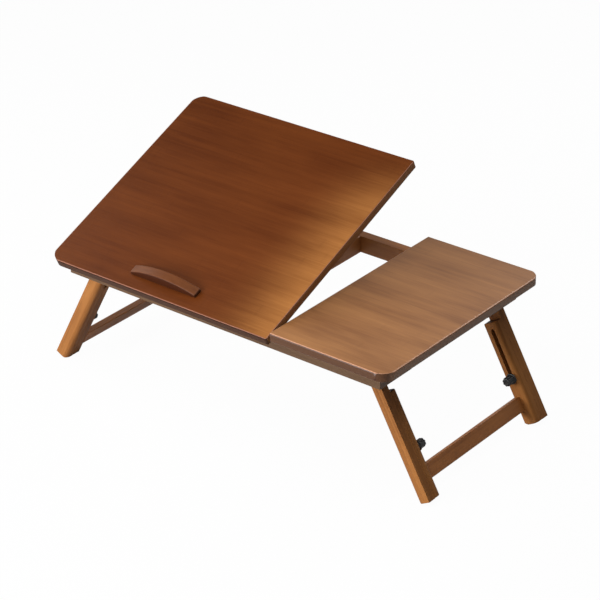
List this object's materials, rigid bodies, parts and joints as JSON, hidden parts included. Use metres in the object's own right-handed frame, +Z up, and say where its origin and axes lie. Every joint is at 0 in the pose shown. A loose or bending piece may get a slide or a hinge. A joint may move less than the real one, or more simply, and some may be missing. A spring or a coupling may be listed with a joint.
{
  "type": "laptop stand with drawer",
  "caption": "Folding wooden laptop stand: a tilting panel with a book stop, a fixed side panel over a shallow drawer, and splayed legs that slide out and clamp.",
  "frame": {"origin": "on the floor under the middle of the stand, with the legs out and pushed in", "axes": "+X to the right along the panels, towards the fixed side panel; +Y from the front edge to the back; +Z up"},
  "size_m": [0.6636, 0.3525, 0.322],
  "materials": {
    "panel_walnut": "satin lacquer over dark stained bamboo",
    "side_walnut": "satin lacquer over stained bamboo",
    "frame_walnut": "satin lacquer over stained bamboo",
    "leg_walnut": "satin lacquer over stained bamboo",
    "drawer_wood": "thin lacquer",
    "dowel_wood": "bare hardwood",
    "plywood": "sanded plywood",
    "steel": "zinc plated",
    "black_plastic": "moulded, fine satin"
  },
  "bodies": {
    "frame": {"side_panel": "side_walnut", "front_rail": "frame_walnut", "back_rail": "frame_walnut", "left_end_rail": "frame_walnut", "cross_rail": "frame_walnut", "right_front_apron": "frame_walnut", "right_back_apron": "frame_walnut", "frame_dowels": "dowel_wood", "panel_screws": "steel", "hinge_rail_leaves": "steel", "hinge_pins": "steel", "hinge_rail_screws": "steel", "left_prop_rack": "frame_walnut", "right_prop_rack": "frame_walnut", "leg_pivot_screws": "steel", "leg_pivot_washers": "steel", "front_drawer_guide": "frame_walnut", "back_drawer_guide": "frame_walnut", "drawer_stop_peg": "dowel_wood"},
    "tilting_top": {"tilt_panel": "panel_walnut", "book_stop": "panel_walnut", "book_stop_screws": "steel", "hinge_panel_leaves": "steel", "hinge_panel_screws": "steel", "prop_brackets": "steel", "prop_bracket_screws": "steel", "prop_pins": "steel"},
    "left_prop": {"left_prop_arm": "frame_walnut", "left_prop_foot": "dowel_wood"},
    "right_prop": {"right_prop_arm": "frame_walnut", "right_prop_foot": "dowel_wood"},
    "left_legs": {"front_left_upper_leg": "leg_walnut", "back_left_upper_leg": "leg_walnut", "left_clamp_studs": "steel", "left_knob_washers": "steel"},
    "right_legs": {"front_right_upper_leg": "leg_walnut", "back_right_upper_leg": "leg_walnut", "right_clamp_studs": "steel", "right_knob_washers": "steel"},
    "left_slide": {"front_left_sliding_leg": "leg_walnut", "back_left_sliding_leg": "leg_walnut", "left_crossbar": "frame_walnut", "left_crossbar_dowels": "dowel_wood"},
    "right_slide": {"front_right_sliding_leg": "leg_walnut", "back_right_sliding_leg": "leg_walnut", "right_crossbar": "frame_walnut", "right_crossbar_dowels": "dowel_wood"},
    "drawer": {"drawer_front": "frame_walnut", "drawer_front_side": "drawer_wood", "drawer_back_side": "drawer_wood", "drawer_back": "drawer_wood", "drawer_bottom": "plywood", "drawer_dowels": "dowel_wood"},
    "front_left_clamp": {"front_left_knob": "black_plastic"},
    "front_right_clamp": {"front_right_knob": "black_plastic"},
    "back_left_clamp": {"back_left_knob": "black_plastic"},
    "back_right_clamp": {"back_right_knob": "black_plastic"}
  },
  "joints": [
    {"name": "panel_tilt", "type": "hinge", "parent": "frame", "child": "tilting_top", "pos_m": [-0.09575, -0.155, 0.184], "axis": [1, 0, 0], "range_deg": [-22.5, 13]},
    {"name": "left_prop_swing", "type": "hinge", "parent": "tilting_top", "child": "left_prop", "pos_m": [-0.231, -0.0398, 0.22345], "axis": [1, 0, 0], "range_deg": [-26.5, 45.5]},
    {"name": "right_prop_swing", "type": "hinge", "parent": "tilting_top", "child": "right_prop", "pos_m": [-0.023, -0.0398, 0.22345], "axis": [1, 0, 0], "range_deg": [-26.5, 45.5]},
    {"name": "left_legs_fold", "type": "hinge", "parent": "frame", "child": "left_legs", "pos_m": [-0.23218, 0, 0.17], "axis": [0, -1, 0], "range_deg": [0, 118.5]},
    {"name": "right_legs_fold", "type": "hinge", "parent": "frame", "child": "right_legs", "pos_m": [0.23218, 0, 0.17], "axis": [0, 1, 0], "range_deg": [0, 118.5]},
    {"name": "left_legs_extend", "type": "slide", "parent": "left_legs", "child": "left_slide", "axis": [0.4772, 0, 0.8788], "range_m": [-0.07, 0]},
    {"name": "right_legs_extend", "type": "slide", "parent": "right_legs", "child": "right_slide", "axis": [-0.4772, 0, 0.8788], "range_m": [-0.07, 0]},
    {"name": "drawer_slide", "type": "slide", "parent": "frame", "child": "drawer", "axis": [1, 0, 0], "range_m": [0, 0.13]},
    {"name": "front_left_knob_turn", "type": "hinge", "parent": "left_legs", "child": "front_left_clamp", "pos_m": [-0.2901, -0.1025, 0.06331], "axis": [0, 1, 0], "range_deg": [0, 360]},
    {"name": "front_right_knob_turn", "type": "hinge", "parent": "right_legs", "child": "front_right_clamp", "pos_m": [0.2901, -0.1025, 0.06331], "axis": [0, 1, 0], "range_deg": [0, 360]},
    {"name": "back_left_knob_turn", "type": "hinge", "parent": "left_legs", "child": "back_left_clamp", "pos_m": [-0.2901, 0.1025, 0.06331], "axis": [0, 1, 0], "range_deg": [0, 360]},
    {"name": "back_right_knob_turn", "type": "hinge", "parent": "right_legs", "child": "back_right_clamp", "pos_m": [0.2901, 0.1025, 0.06331], "axis": [0, 1, 0], "range_deg": [0, 360]}
  ],
  "couplings": [
    {"joint": "left_prop_swing", "follows": "panel_tilt", "ratio": -2},
    {"joint": "right_prop_swing", "follows": "panel_tilt", "ratio": -2}
  ]
}
